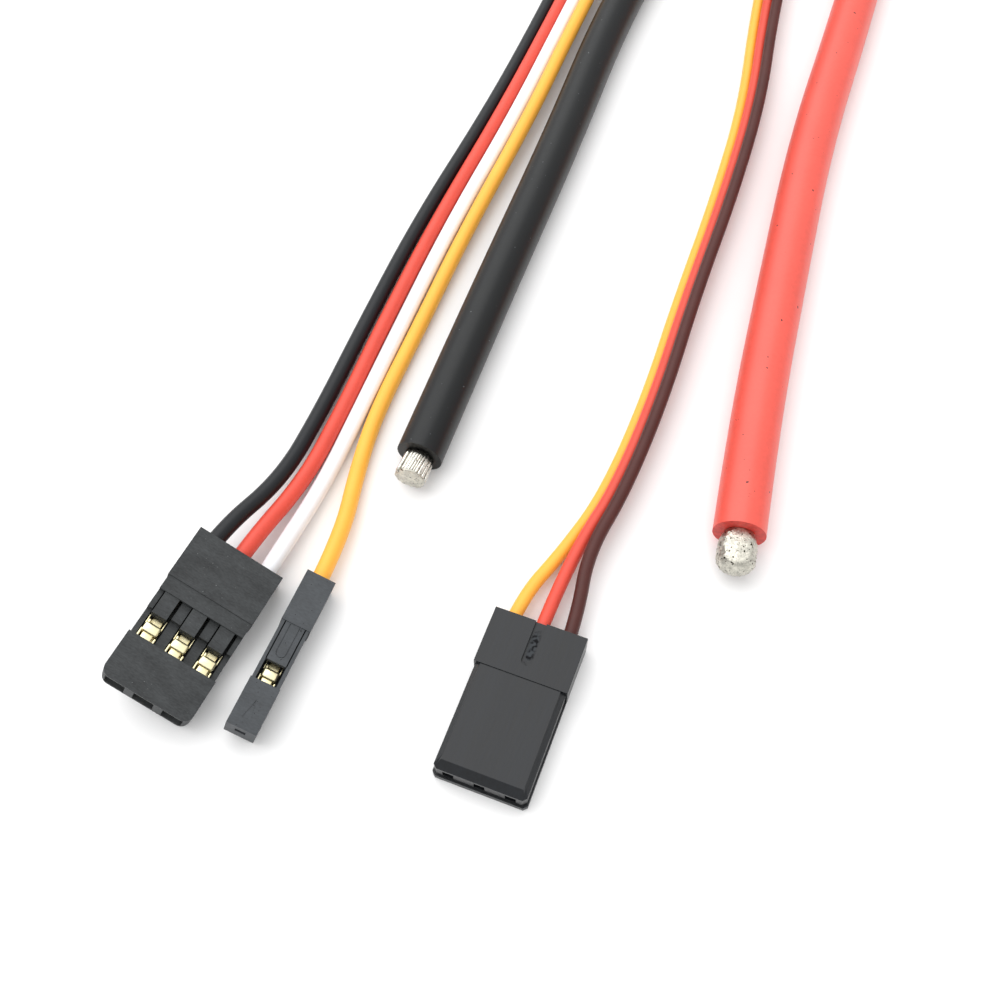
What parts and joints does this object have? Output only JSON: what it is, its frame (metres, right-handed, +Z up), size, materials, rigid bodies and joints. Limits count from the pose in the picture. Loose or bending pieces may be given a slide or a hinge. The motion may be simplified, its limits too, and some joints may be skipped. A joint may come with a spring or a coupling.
{
  "type": "electronic speed controller",
  "caption": "Brushless motor speed controller: finned case with a cooling fan, motor outlets, bare battery leads and flat signal leads ending in pin-header plugs.",
  "frame": {"origin": "middle of the case's flat base", "axes": "+Z up from the base, +Y along the case from the lead end to the motor end, +X to the right seen from the lead end with the case upright"},
  "size_m": [0.084, 0.2202, 0.026],
  "materials": {
    "case": "fine grained",
    "heat_sink": "dark anodised, satin",
    "screw": "black oxide",
    "fan_plastic": "satin",
    "fan_blades": "satin",
    "bearing": "sintered",
    "stator": "laminated, wound",
    "magnet": "bonded ferrite",
    "shaft": "ground",
    "board": "solder mask",
    "chip": "moulded",
    "ferrite": "matt",
    "shunt": "satin",
    "light": "clear",
    "thermal_pad": "matt",
    "header": "moulded",
    "capacitor": "sleeved",
    "solder": "dull",
    "light_pipe": "clear",
    "grommet": "matt",
    "socket": "gilt",
    "socket_holder": "moulded",
    "black_silicone": "satin",
    "red_silicone": "satin",
    "tinned_strands": "bright strands",
    "soldered_strands": "rough solder",
    "black_wire": "satin",
    "red_wire": "satin",
    "white_wire": "satin",
    "yellow_wire": "satin",
    "brown_wire": "satin",
    "receiver_plug": "matt grained",
    "rpm_plug": "smooth, pitted",
    "supply_plug": "half gloss",
    "contact": "gilt"
  },
  "bodies": {
    "controller": {"case_base": "case", "heat_sink": "heat_sink", "case_screws": "screw", "fan_screws": "screw", "fan_frame": "fan_plastic", "fan_bearing": "bearing", "fan_stator": "stator", "power_board": "board", "control_board": "board", "mosfets": "chip", "microcontroller": "chip", "gate_drivers": "chip", "supply_regulator": "chip", "supply_inductor": "ferrite", "status_light": "light", "current_shunts": "shunt", "thermal_pad": "thermal_pad", "board_headers": "header", "capacitors": "capacitor", "capacitor_joints": "solder", "battery_joints": "solder", "signal_joints": "solder", "motor_joints": "solder", "light_pipe": "light_pipe", "black_lead_grommet": "grommet", "red_lead_grommet": "grommet", "ribbon_grommet": "grommet", "supply_grommet": "grommet", "motor_socket_1": "socket", "motor_socket_2": "socket", "motor_socket_3": "socket", "socket_holder": "socket_holder", "black_lead": "black_silicone", "red_lead": "red_silicone", "black_lead_end": "tinned_strands", "red_lead_end": "soldered_strands", "ribbon_black": "black_wire", "ribbon_red": "red_wire", "ribbon_white": "white_wire", "ribbon_yellow": "yellow_wire", "supply_yellow": "yellow_wire", "supply_red": "red_wire", "supply_brown": "brown_wire", "receiver_housing": "receiver_plug", "rpm_housing": "rpm_plug", "supply_housing": "supply_plug", "receiver_contact_1": "contact", "receiver_contact_2": "contact", "receiver_contact_3": "contact", "rpm_contact": "contact", "supply_contact_1": "contact", "supply_contact_2": "contact", "supply_contact_3": "contact"},
    "rotor": {"fan_rotor": "fan_blades", "fan_shaft": "shaft", "fan_magnet_ring": "magnet"}
  },
  "joints": [
    {"name": "fan_spin", "type": "hinge", "parent": "controller", "child": "rotor", "pos_m": [0, 0.008, 0.0225], "axis": [0, 0, 1], "continuous": true}
  ]
}
